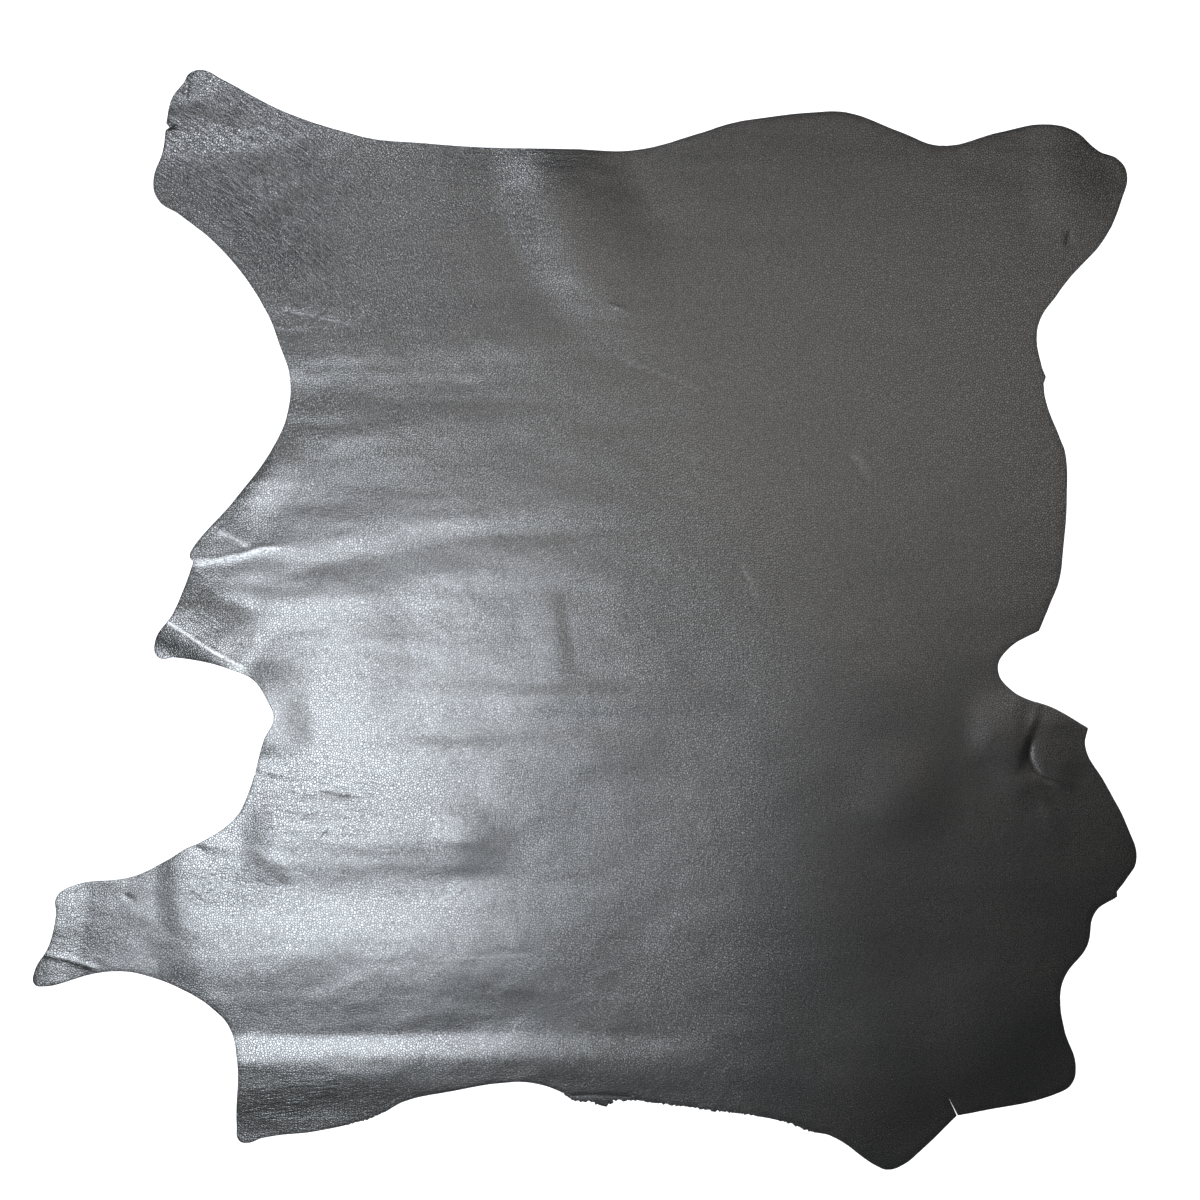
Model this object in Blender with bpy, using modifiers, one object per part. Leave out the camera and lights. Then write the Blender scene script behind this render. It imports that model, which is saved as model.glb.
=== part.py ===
"""A whole tanned skin, trimmed round its natural outline and laid out grain side up on a flat surface.

It is one piece of leather. Its rim runs round four legs, a neck and a rump, with the nicks and slits that
the fleshing knife left. The skin lies flat but for its slack, which stands in low soft folds. Most of them
run across the skin from its left side.

Metres, +Z up. The origin is in the middle of the skin, on the surface that it lies on.
"""

from collections import namedtuple

import bmesh
import bpy
import numpy as np

MM = 0.001

# The leather, and the net of cuts that lets the flat blank bend.
THICKNESS = 1.2 * MM
RIM_STEPS = 3
SNAP = 1.0 * MM
FOLD_STEPS = 8
FOLDED_SIDE_ENDS = 108 * MM
FOLDED_COLUMN = 20 * MM
FOLDED_ROW = 11.5 * MM
SMOOTH_COLUMN = 36 * MM
SMOOTH_ROW = 23 * MM

# The rim, clockwise as seen from above, in millimetres from the middle of the skin. A smooth point is
# rounded through, and a corner is where the knife turned.
RimPoint = namedtuple("RimPoint", "x y turn")
SMOOTH = "AUTO"
CORNER = "VECTOR"

UPPER_LEFT_LEG = (
    RimPoint(-379.5, 424, SMOOTH),
    RimPoint(-377.5, 441, CORNER),
    RimPoint(-374, 443.5, CORNER),
    RimPoint(-377, 447.5, CORNER),
    RimPoint(-371.5, 470, SMOOTH),
    RimPoint(-361, 484, SMOOTH),
    RimPoint(-356, 492, SMOOTH),
    RimPoint(-345, 495, SMOOTH),
    RimPoint(-328, 487, SMOOTH),
    RimPoint(-271, 457.5, SMOOTH),
)
TOP_EDGE = (
    RimPoint(-212, 438, SMOOTH),
    RimPoint(-188, 432.5, SMOOTH),
    RimPoint(-150, 429.5, SMOOTH),
    RimPoint(-104, 426, SMOOTH),
    RimPoint(-10, 423.5, SMOOTH),
    RimPoint(45, 423, SMOOTH),
    RimPoint(104, 438.5, SMOOTH),
    RimPoint(131, 447, SMOOTH),
    RimPoint(157, 451.5, SMOOTH),
    RimPoint(207, 457, SMOOTH),
    RimPoint(234, 457, SMOOTH),
    RimPoint(284, 439, SMOOTH),
    RimPoint(319, 427, SMOOTH),
    RimPoint(373, 439, SMOOTH),
)
UPPER_RIGHT_LEG = (
    RimPoint(412, 446, SMOOTH),
    RimPoint(438, 441, SMOOTH),
    RimPoint(462, 422, SMOOTH),
    RimPoint(480, 414, SMOOTH),
    RimPoint(487, 402, SMOOTH),
    RimPoint(482, 378, SMOOTH),
    RimPoint(467, 344, SMOOTH),
    RimPoint(434.5, 307, SMOOTH),
    RimPoint(421.5, 289.5, SMOOTH),
)
RIGHT_EDGE = (
    RimPoint(410.5, 274, SMOOTH),
    RimPoint(406, 259, SMOOTH),
    RimPoint(410, 230, SMOOTH),
    RimPoint(414, 219, CORNER),
    RimPoint(412, 213, CORNER),
    RimPoint(414, 198, SMOOTH),
    RimPoint(427.5, 162, SMOOTH),
    RimPoint(431, 153, SMOOTH),
    RimPoint(433, 111, SMOOTH),
    RimPoint(429.5, 62, SMOOTH),
    RimPoint(426.5, 38, SMOOTH),
    RimPoint(418, 15, SMOOTH),
    RimPoint(408, -9, CORNER),
    RimPoint(380, -26, SMOOTH),
    RimPoint(371, -43, SMOOTH),
    RimPoint(382, -62, SMOOTH),
    RimPoint(424, -80.5, SMOOTH),
)
LOWER_RIGHT_LEG = (
    RimPoint(452, -97, CORNER),
    RimPoint(449.5, -113, SMOOTH),
    RimPoint(468, -147.5, SMOOTH),
    RimPoint(488, -187, SMOOTH),
    RimPoint(495.5, -216, SMOOTH),
    RimPoint(486, -233.5, SMOOTH),
    RimPoint(478, -244, CORNER),
    RimPoint(478.5, -248.5, CORNER),
    RimPoint(459, -262, SMOOTH),
    RimPoint(451, -293.5, SMOOTH),
    RimPoint(431, -321, SMOOTH),
    RimPoint(427, -340, SMOOTH),
    RimPoint(431, -369, SMOOTH),
    RimPoint(441, -402, SMOOTH),
    RimPoint(437, -417.5, SMOOTH),
    RimPoint(425.5, -425, SMOOTH),
)
RUMP = (
    RimPoint(355, -441.5, SMOOTH),
    RimPoint(335.3, -445.2, CORNER),
    RimPoint(326.3, -428.4, CORNER),
    RimPoint(333.9, -445.6, CORNER),
    RimPoint(301.5, -477, SMOOTH),
    RimPoint(286, -489.5, SMOOTH),
    RimPoint(272, -494, SMOOTH),
    RimPoint(263, -491, SMOOTH),
    RimPoint(221, -463.5, SMOOTH),
    RimPoint(203, -459.5, SMOOTH),
)
BOTTOM_EDGE = (
    RimPoint(180, -451, SMOOTH),
    RimPoint(114, -440.5, SMOOTH),
    RimPoint(43, -432, SMOOTH),
    RimPoint(26, -431.5, CORNER),
    RimPoint(21.5, -435.5, SMOOTH),
    RimPoint(13.5, -436.5, SMOOTH),
    RimPoint(7, -433, CORNER),
    RimPoint(-12.5, -430.5, SMOOTH),
    RimPoint(-22, -424, SMOOTH),
    RimPoint(-51, -415.5, SMOOTH),
    RimPoint(-77, -416, SMOOTH),
    RimPoint(-121, -423.5, SMOOTH),
    RimPoint(-163, -432.5, SMOOTH),
    RimPoint(-184.5, -444, SMOOTH),
    RimPoint(-237, -458.5, SMOOTH),
    RimPoint(-290.5, -465.5, SMOOTH),
    RimPoint(-305, -470, SMOOTH),
    RimPoint(-311.5, -468, SMOOTH),
    RimPoint(-313.5, -455, SMOOTH),
    RimPoint(-313, -396, SMOOTH),
)
LOWER_LEFT_LEG = (
    RimPoint(-320.5, -365.5, SMOOTH),
    RimPoint(-335.5, -349, SMOOTH),
    RimPoint(-355.5, -335.5, SMOOTH),
    RimPoint(-400.5, -318, SMOOTH),
    RimPoint(-418.5, -315.5, SMOOTH),
    RimPoint(-441, -317.5, SMOOTH),
    RimPoint(-488, -329, SMOOTH),
    RimPoint(-495.5, -327, SMOOTH),
    RimPoint(-495, -315, SMOOTH),
    RimPoint(-483, -294, SMOOTH),
    RimPoint(-476, -265, SMOOTH),
    RimPoint(-475.5, -249, SMOOTH),
    RimPoint(-462, -239.5, SMOOTH),
    RimPoint(-408, -231, SMOOTH),
    RimPoint(-376, -216, SMOOTH),
    RimPoint(-358, -205, SMOOTH),
    RimPoint(-345, -199.5, SMOOTH),
    RimPoint(-314, -177, SMOOTH),
)
LEFT_EDGE = (
    RimPoint(-304, -158, SMOOTH),
    RimPoint(-297.2, -138.4, CORNER),
    RimPoint(-277, -142, CORNER),
    RimPoint(-297, -137.6, CORNER),
    RimPoint(-289, -108, SMOOTH),
    RimPoint(-280, -88, SMOOTH),
    RimPoint(-285, -74, SMOOTH),
    RimPoint(-298, -54, SMOOTH),
)
NECK_FLAP = (
    RimPoint(-310.5, -47, SMOOTH),
    RimPoint(-369, -33, SMOOTH),
    RimPoint(-384, -33, SMOOTH),
    RimPoint(-387.5, -22, SMOOTH),
    RimPoint(-370, 7, SMOOTH),
    RimPoint(-357.5, 38, SMOOTH),
    RimPoint(-352.5, 53, CORNER),
    RimPoint(-355.5, 57, SMOOTH),
    RimPoint(-353.5, 64, SMOOTH),
    RimPoint(-314, 110, SMOOTH),
)
LEFT_HOLLOW = (
    RimPoint(-279, 158.5, SMOOTH),
    RimPoint(-267, 190, SMOOTH),
    RimPoint(-266, 221, SMOOTH),
    RimPoint(-274.5, 247, SMOOTH),
    RimPoint(-285.5, 275.5, SMOOTH),
    RimPoint(-323, 329.5, SMOOTH),
    RimPoint(-366, 366, SMOOTH),
    RimPoint(-383, 377, SMOOTH),
    RimPoint(-388.5, 392, SMOOTH),
)
RIM = (
    UPPER_LEFT_LEG
    + TOP_EDGE
    + UPPER_RIGHT_LEG
    + RIGHT_EDGE
    + LOWER_RIGHT_LEG
    + RUMP
    + BOTTOM_EDGE
    + LOWER_LEFT_LEG
    + LEFT_EDGE
    + NECK_FLAP
    + LEFT_HOLLOW
)

# The folds, in millimetres. A fold stands `height` high along its crest, and falls to the surface `left` and
# `right` of it, looking along the crest. It dies away over the last `fade_in` and `fade_out` of the crest,
# and where that is 0 it runs out over the rim.
Fold = namedtuple("Fold", "name height left right fade_in fade_out crest")

FOLDS = (
    Fold("upper left tip", 0.7, 45, 18, 0, 60, ((-400, 466), (-345, 466), (-290, 452))),
    Fold("upper left leg", 1, 30, 54, 0, 160, ((-420, 417), (-300, 418), (-180, 410))),
    Fold("top wave", 3.1, 80, 54, 100, 180,
         ((-30, 480), (-33, 423), (-27, 378), (-5, 333), (20, 301), (56, 276), (104, 260))),
    Fold("upper left bend", 0.8, 45, 40, 30, 40, ((-318, 372), (-279, 349), (-252, 322), (-232, 290))),
    Fold("first left fold", 1.1, 40, 54, 0, 90, ((-310, 250), (-211, 252), (-120, 250))),
    Fold("first left fold, faint end", 0.6, 40, 36, 60, 140, ((-180, 250), (-60, 254), (60, 258))),
    Fold("second left fold", 0.5, 17, 14, 0, 60, ((-300, 184), (-220, 187), (-160, 196))),
    Fold("third left fold", 0.8, 24, 56, 0, 120, ((-310, 154), (-256, 160), (-148, 171), (-60, 178))),
    Fold("left rim lift", 0.9, 28, 20, 30, 30, ((-262, 166), (-290, 122), (-318, 90))),
    Fold("fourth left fold", 0.7, 60, 28, 40, 120,
         ((-300, 60), (-256, 69), (-166, 88), (-76, 100), (14, 105), (86, 108))),
    Fold("notch fold", 0.4, 50, 8, 0, 50, ((-375, 53), (-324, 58), (-290, 65), (-250, 68))),
    Fold("neck root swell", 0.8, 62, 62, 50, 50, ((-212, -110), (-214, -20), (-218, 70))),
    Fold("main left fold", 0.6, 40, 30, 30, 150,
         ((-301, 18), (-256, 20), (-211, 25), (-148, 37), (-76, 47), (14, 52), (100, 52))),
    Fold("neck flap fold", 2.5, 54, 28, 0, 40, ((-400, 12), (-364, -8), (-330, -29), (-298, -48))),
    Fold("neck rim lift", 2.4, 46, 44, 66, 42, ((-292, -18), (-286, -44), (-284, -85), (-290, -134))),
    Fold("short pleat", 0.3, 14, 36, 30, 40, ((-30, 34), (-28, 0), (-24, -27), (-16, -66))),
    Fold("middle fold", 0.6, 18, 20, 80, 100, ((-120, -74), (-30, -71), (60, -70), (150, -68))),
    Fold("lower middle fold", 0.7, 24, 44, 60, 100, ((-240, -128), (-130, -124), (-30, -118), (90, -108))),
    Fold("belly fold", 1.6, 50, 54, 40, 180, ((-315, -194), (-229, -194), (-166, -189), (-76, -181), (20, -176))),
    Fold("belly pocket", 0.7, 30, 44, 40, 60, ((-146, -199), (-110, -198), (-60, -194))),
    Fold("leg end", 1.2, 40, 34, 0, 0, ((-484, -225), (-489, -290), (-494, -350))),
    Fold("leg root fold", 0.9, 50, 28, 0, 60, ((-357, -190), (-361, -243), (-355, -275), (-350, -300))),
    Fold("lower fold", 1.25, 60, 80, 50, 200,
         ((-386, -326), (-319, -302), (-256, -299), (-166, -302), (-76, -297), (59, -290))),
    Fold("hem fold", 1.5, 28, 60, 40, 310, ((-350, -400), (-256, -400), (-76, -396), (103, -402), (215, -414))),
    Fold("upper right leg", 0.8, 50, 34, 0, 60, ((427, 480), (427, 415), (431, 370), (438, 330))),
    Fold("right pinch, inner", 0.5, 18, 30, 25, 30, ((384, -60), (384, -108), (391, -139), (412, -166))),
    Fold("right pinch, outer", 0.6, 42, 14, 20, 30, ((409, -76), (411, -112), (421, -136), (448, -150))),
    Fold("pinch swell", 1.1, 48, 30, 26, 9, ((340, -104), (370, -104), (403, -114))),
    Fold("flank swell", 1.2, 150, 140, 0, 110, ((188, -500), (188, -300), (208, -160), (246, -70), (272, 40))),
    Fold("flank spot", 0.8, 50, 60, 50, 50, ((285, -100), (290, -153), (292, -210))),
    Fold("rump swell", 1.1, 110, 66, 110, 110, ((190, -400), (260, -402), (335, -392), (385, -350), (402, -280))),
)


def clear_scene():
    for old in list(bpy.data.objects):
        bpy.data.objects.remove(old, do_unlink=True)


def leather():
    """Black grain leather with a soft finish."""
    material = bpy.data.materials.new("black_grain_leather")
    material.use_nodes = True
    shader = material.node_tree.nodes["Principled BSDF"]
    shader.inputs["Base Color"].default_value = (0.035, 0.035, 0.037, 1)
    shader.inputs["Roughness"].default_value = 0.42
    shader.inputs["Metallic"].default_value = 0
    return material


def flat_blank():
    """The skin's outline as one flat face, facing up, with the middle of its box at the origin."""
    rim = bpy.data.curves.new("hide_rim", "CURVE")
    rim.dimensions = "2D"
    rim.fill_mode = "BOTH"
    spline = rim.splines.new("BEZIER")
    spline.bezier_points.add(len(RIM) - 1)
    for point, place in zip(spline.bezier_points, RIM):
        point.co = (place.x * MM, place.y * MM, 0)
        point.handle_left_type = place.turn
        point.handle_right_type = place.turn
    spline.use_cyclic_u = True
    spline.resolution_u = RIM_STEPS
    guide = bpy.data.objects.new("hide_rim", rim)
    bpy.context.scene.collection.objects.link(guide)

    graph = bpy.context.evaluated_depsgraph_get()
    mesh = bpy.data.meshes.new_from_object(guide.evaluated_get(graph))
    bpy.data.objects.remove(guide, do_unlink=True)

    blank = bmesh.new()
    blank.from_mesh(mesh)
    bpy.data.meshes.remove(mesh)
    bmesh.ops.remove_doubles(blank, verts=blank.verts[:], dist=0.01 * MM)
    bmesh.ops.dissolve_faces(blank, faces=blank.faces[:])
    bmesh.ops.recalc_face_normals(blank, faces=blank.faces[:])
    if blank.faces[0].normal.z < 0:
        bmesh.ops.reverse_faces(blank, faces=blank.faces[:])
    corners = np.array([vertex.co for vertex in blank.verts])
    middle = (corners.min(axis=0) + corners.max(axis=0)) / 2
    bmesh.ops.translate(blank, verts=blank.verts[:], vec=-middle)
    return blank


def cut_lines(blank, axis, start, end, step, from_x, to_x):
    """Cuts the blank across `axis` every `step` from start to end, on the faces between from_x and to_x."""
    normal = [0, 0, 0]
    normal[axis] = 1
    for at in np.arange(start + step / 2, end, step):
        faces = [face for face in blank.faces if from_x < face.calc_center_median().x < to_x]
        edges = {edge for face in faces for edge in face.edges}
        corners = {corner for face in faces for corner in face.verts}
        place = [0, 0, 0]
        place[axis] = at
        bmesh.ops.bisect_plane(
            blank,
            geom=faces + list(edges) + list(corners),
            dist=SNAP,
            plane_co=place,
            plane_no=normal,
        )


def cut_net(blank):
    """Cuts the blank into cells: small ones on the folded side, and large ones on the smooth side."""
    reach = max(abs(value) for vertex in blank.verts for value in vertex.co)
    everywhere = (-reach, reach)
    cut_lines(blank, 0, FOLDED_SIDE_ENDS - 30 * FOLDED_COLUMN, FOLDED_SIDE_ENDS, FOLDED_COLUMN, *everywhere)
    cut_lines(blank, 0, FOLDED_SIDE_ENDS, reach, SMOOTH_COLUMN, *everywhere)
    cut_lines(blank, 1, -reach, reach, SMOOTH_ROW, *everywhere)
    cut_lines(blank, 1, FOLDED_ROW - reach, reach, SMOOTH_ROW, -reach, FOLDED_SIDE_ENDS)
    bmesh.ops.triangulate(blank, faces=blank.faces[:], quad_method="BEAUTY", ngon_method="BEAUTY")


def smoothed(crest):
    """Points along a smooth curve through the crest's own points, in metres."""
    knots = np.array(crest, float) * MM
    ends = (2 * knots[0] - knots[1], 2 * knots[-1] - knots[-2])
    knots = np.vstack([ends[0], knots, ends[1]])
    points = []
    for a, b, c, d in zip(knots, knots[1:], knots[2:], knots[3:]):
        for step in range(FOLD_STEPS):
            t = step / FOLD_STEPS
            bend = 2 * b + (c - a) * t + (2 * a - 5 * b + 4 * c - d) * t**2
            points.append((bend + (3 * b - a - 3 * c + d) * t**3) / 2)
    return np.array(points + [knots[-2]])


def lift(places, fold):
    """How high the fold raises each place on the skin."""
    crest = smoothed(fold.crest)
    starts, runs = crest[:-1], np.diff(crest, axis=0)
    lengths = np.linalg.norm(runs, axis=1)
    begun = np.concatenate([[0], np.cumsum(lengths)[:-1]])
    offset = places[:, None, :] - starts[None]
    share = np.clip((offset * runs).sum(axis=2) / lengths**2, 0, 1)
    gap = offset - share[..., None] * runs
    away = np.linalg.norm(gap, axis=2)
    nearest = away.argmin(axis=1)
    row = np.arange(len(places))
    away, gap, run = away[row, nearest], gap[row, nearest], runs[nearest]
    on_left = run[:, 0] * gap[:, 1] - run[:, 1] * gap[:, 0] > 0
    width = np.where(on_left, fold.left, fold.right) * MM
    along = begun[nearest] + share[row, nearest] * lengths[nearest]
    height = fold.height * MM * np.clip(1 - (away / width) ** 2, 0, None) ** 2
    for fade, done in ((fold.fade_in, along), (fold.fade_out, lengths.sum() - along)):
        if fade:
            height *= np.sin(np.clip(done / (fade * MM), 0, 1) * np.pi / 2) ** 2
    return height


def raise_folds(blank):
    places = np.array([vertex.co.xy for vertex in blank.verts])
    heights = sum(lift(places, fold) for fold in FOLDS)
    for vertex, height in zip(blank.verts, heights):
        vertex.co.z = height


def hide(material):
    """The skin: the folded blank given the leather's thickness, upwards from its flesh side."""
    blank = flat_blank()
    cut_net(blank)
    raise_folds(blank)
    mesh = bpy.data.meshes.new("hide")
    blank.to_mesh(mesh)
    blank.free()
    mesh.shade_smooth()
    mesh.materials.append(material)
    skin = bpy.data.objects.new("hide", mesh)
    wall = skin.modifiers.new("Thickness", "SOLIDIFY")
    wall.thickness = THICKNESS
    wall.offset = 1
    return skin


def main():
    clear_scene()
    collection = bpy.data.collections.new("leather_hide")
    bpy.context.scene.collection.children.link(collection)
    collection.objects.link(hide(leather()))


main()
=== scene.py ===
"""The looks of a whole skin of black grain leather, laid out grain side up.

The skin is one sheet on the folds of its solid, with finer creases and scars of its own, and highlights
painted in pale colour along the ridges at its notch and neck flap. It has a grained face, a raw cut edge and
a suede flesh side. Its lower edge is ragged where it was torn.

Metres, +Z up. The tables of the skin are in millimetres from the middle of its outline's box.
"""

import logging
import math
from dataclasses import dataclass
from enum import Enum

import bpy
import numpy as np
from mathutils import Matrix, Vector, noise
from mathutils.geometry import delaunay_2d_cdt
from mathutils.kdtree import KDTree

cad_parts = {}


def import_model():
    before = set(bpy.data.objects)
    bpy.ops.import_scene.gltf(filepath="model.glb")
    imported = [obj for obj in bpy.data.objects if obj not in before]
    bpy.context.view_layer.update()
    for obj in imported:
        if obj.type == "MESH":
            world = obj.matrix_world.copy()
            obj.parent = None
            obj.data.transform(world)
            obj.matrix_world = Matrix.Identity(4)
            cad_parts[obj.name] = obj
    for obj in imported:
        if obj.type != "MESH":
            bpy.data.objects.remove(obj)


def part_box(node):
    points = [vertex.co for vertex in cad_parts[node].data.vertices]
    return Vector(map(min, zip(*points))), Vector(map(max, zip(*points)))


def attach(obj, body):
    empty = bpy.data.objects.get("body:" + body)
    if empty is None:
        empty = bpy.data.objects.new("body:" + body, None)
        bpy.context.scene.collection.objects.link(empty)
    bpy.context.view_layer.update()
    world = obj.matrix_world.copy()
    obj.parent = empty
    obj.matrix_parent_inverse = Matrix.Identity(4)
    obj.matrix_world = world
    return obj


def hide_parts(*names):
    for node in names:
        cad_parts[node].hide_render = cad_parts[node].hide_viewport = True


MM = 0.001
# Blender seeds its vector noise from the clock, and the rim has to come out the same each time.
NOISE_SEED = 1
log = logging.getLogger("leather_hide")


class Turn(Enum):
    """How the knife went through a point of the rim."""

    SMOOTH = "AUTO"
    CORNER = "VECTOR"


class Side(Enum):
    """The surfaces of the leather, in the order of the sheet's material slots."""

    GRAIN = 0
    CUT_EDGE = 1
    FLESH = 2


@dataclass(frozen=True)
class RimPoint:
    """A point that the knife went through, in millimetres."""

    x: float
    y: float
    turn: Turn = Turn.SMOOTH


CORNER = Turn.CORNER

UPPER_LEFT_LEG = (
    RimPoint(-379.5, 424),
    RimPoint(-377.5, 441, CORNER),
    RimPoint(-374, 443.5, CORNER),
    RimPoint(-377, 447.5, CORNER),
    RimPoint(-371.5, 470),
    RimPoint(-361, 484),
    RimPoint(-356, 492),
    RimPoint(-345, 495),
    RimPoint(-328, 487),
    RimPoint(-271, 457.5),
)
TOP_EDGE = (
    RimPoint(-212, 438),
    RimPoint(-188, 432.5),
    RimPoint(-150, 429.5),
    RimPoint(-104, 426),
    RimPoint(-10, 423.5),
    RimPoint(45, 423),
    RimPoint(104, 438.5),
    RimPoint(131, 447),
    RimPoint(157, 451.5),
    RimPoint(207, 457),
    RimPoint(234, 457),
    RimPoint(284, 439),
    RimPoint(319, 427),
    RimPoint(373, 439),
)
UPPER_RIGHT_LEG = (
    RimPoint(412, 446),
    RimPoint(438, 441),
    RimPoint(462, 422),
    RimPoint(480, 414),
    RimPoint(487, 402),
    RimPoint(482, 378),
    RimPoint(467, 344),
    RimPoint(434.5, 307),
    RimPoint(421.5, 289.5),
)
RIGHT_EDGE = (
    RimPoint(410.5, 274),
    RimPoint(406, 259),
    RimPoint(410, 230),
    RimPoint(414, 219, CORNER),
    RimPoint(412, 213, CORNER),
    RimPoint(414, 198),
    RimPoint(427.5, 162),
    RimPoint(431, 153),
    RimPoint(433, 111),
    RimPoint(429.5, 62),
    RimPoint(426.5, 38),
    RimPoint(418, 15),
    RimPoint(408, -9, CORNER),
    RimPoint(380, -26),
    RimPoint(371, -43),
    RimPoint(382, -62),
    RimPoint(424, -80.5),
)
LOWER_RIGHT_LEG = (
    RimPoint(452, -97, CORNER),
    RimPoint(449.5, -113),
    RimPoint(468, -147.5),
    RimPoint(488, -187),
    RimPoint(495.5, -216),
    RimPoint(486, -233.5),
    RimPoint(478, -244, CORNER),
    RimPoint(478.5, -248.5, CORNER),
    RimPoint(459, -262),
    RimPoint(451, -293.5),
    RimPoint(431, -321),
    RimPoint(427, -340),
    RimPoint(431, -369),
    RimPoint(441, -402),
    RimPoint(437, -417.5),
    RimPoint(425.5, -425),
)
RUMP = (
    RimPoint(355, -441.5),
    RimPoint(335.3, -445.2, CORNER),
    RimPoint(326.3, -428.4, CORNER),
    RimPoint(333.9, -445.6, CORNER),
    RimPoint(301.5, -477),
    RimPoint(286, -489.5),
    RimPoint(272, -494),
    RimPoint(263, -491),
    RimPoint(221, -463.5),
    RimPoint(203, -459.5),
)
BOTTOM_EDGE = (
    RimPoint(180, -451),
    RimPoint(114, -440.5),
    RimPoint(43, -432),
    RimPoint(26, -431.5, CORNER),
    RimPoint(21.5, -435.5),
    RimPoint(13.5, -436.5),
    RimPoint(7, -433, CORNER),
    RimPoint(-12.5, -430.5),
    RimPoint(-22, -424),
    RimPoint(-51, -415.5),
    RimPoint(-77, -416),
    RimPoint(-121, -423.5),
    RimPoint(-163, -432.5),
    RimPoint(-184.5, -444),
    RimPoint(-237, -458.5),
    RimPoint(-290.5, -465.5),
    RimPoint(-305, -470),
    RimPoint(-311.5, -468),
    RimPoint(-313.5, -455),
    RimPoint(-313, -396),
)
LOWER_LEFT_LEG = (
    RimPoint(-320.5, -365.5),
    RimPoint(-335.5, -349),
    RimPoint(-355.5, -335.5),
    RimPoint(-400.5, -318),
    RimPoint(-418.5, -315.5),
    RimPoint(-441, -317.5),
    RimPoint(-488, -329),
    RimPoint(-495.5, -327),
    RimPoint(-495, -315),
    RimPoint(-483, -294),
    RimPoint(-476, -265),
    RimPoint(-475.5, -249),
    RimPoint(-462, -239.5),
    RimPoint(-408, -231),
    RimPoint(-376, -216),
    RimPoint(-358, -205),
    RimPoint(-345, -199.5),
    RimPoint(-314, -177),
)
LEFT_EDGE = (
    RimPoint(-304, -158),
    RimPoint(-297.2, -138.4, CORNER),
    RimPoint(-277, -142, CORNER),
    RimPoint(-297, -137.6, CORNER),
    RimPoint(-289, -108),
    RimPoint(-280, -88),
    RimPoint(-285, -74),
    RimPoint(-298, -54),
)
NECK_FLAP = (
    RimPoint(-310.5, -47),
    RimPoint(-369, -33),
    RimPoint(-384, -33),
    RimPoint(-387.5, -22),
    RimPoint(-370, 7),
    RimPoint(-357.5, 38),
    RimPoint(-352.5, 53, CORNER),
    RimPoint(-355.5, 57),
    RimPoint(-353.5, 64),
    RimPoint(-314, 110),
)
LEFT_HOLLOW = (
    RimPoint(-279, 158.5),
    RimPoint(-267, 190),
    RimPoint(-266, 221),
    RimPoint(-274.5, 247),
    RimPoint(-285.5, 275.5),
    RimPoint(-323, 329.5),
    RimPoint(-366, 366),
    RimPoint(-383, 377),
    RimPoint(-388.5, 392),
)
RIM = (
    UPPER_LEFT_LEG
    + TOP_EDGE
    + UPPER_RIGHT_LEG
    + RIGHT_EDGE
    + LOWER_RIGHT_LEG
    + RUMP
    + BOTTOM_EDGE
    + LOWER_LEFT_LEG
    + LEFT_EDGE
    + NECK_FLAP
    + LEFT_HOLLOW
)


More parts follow.
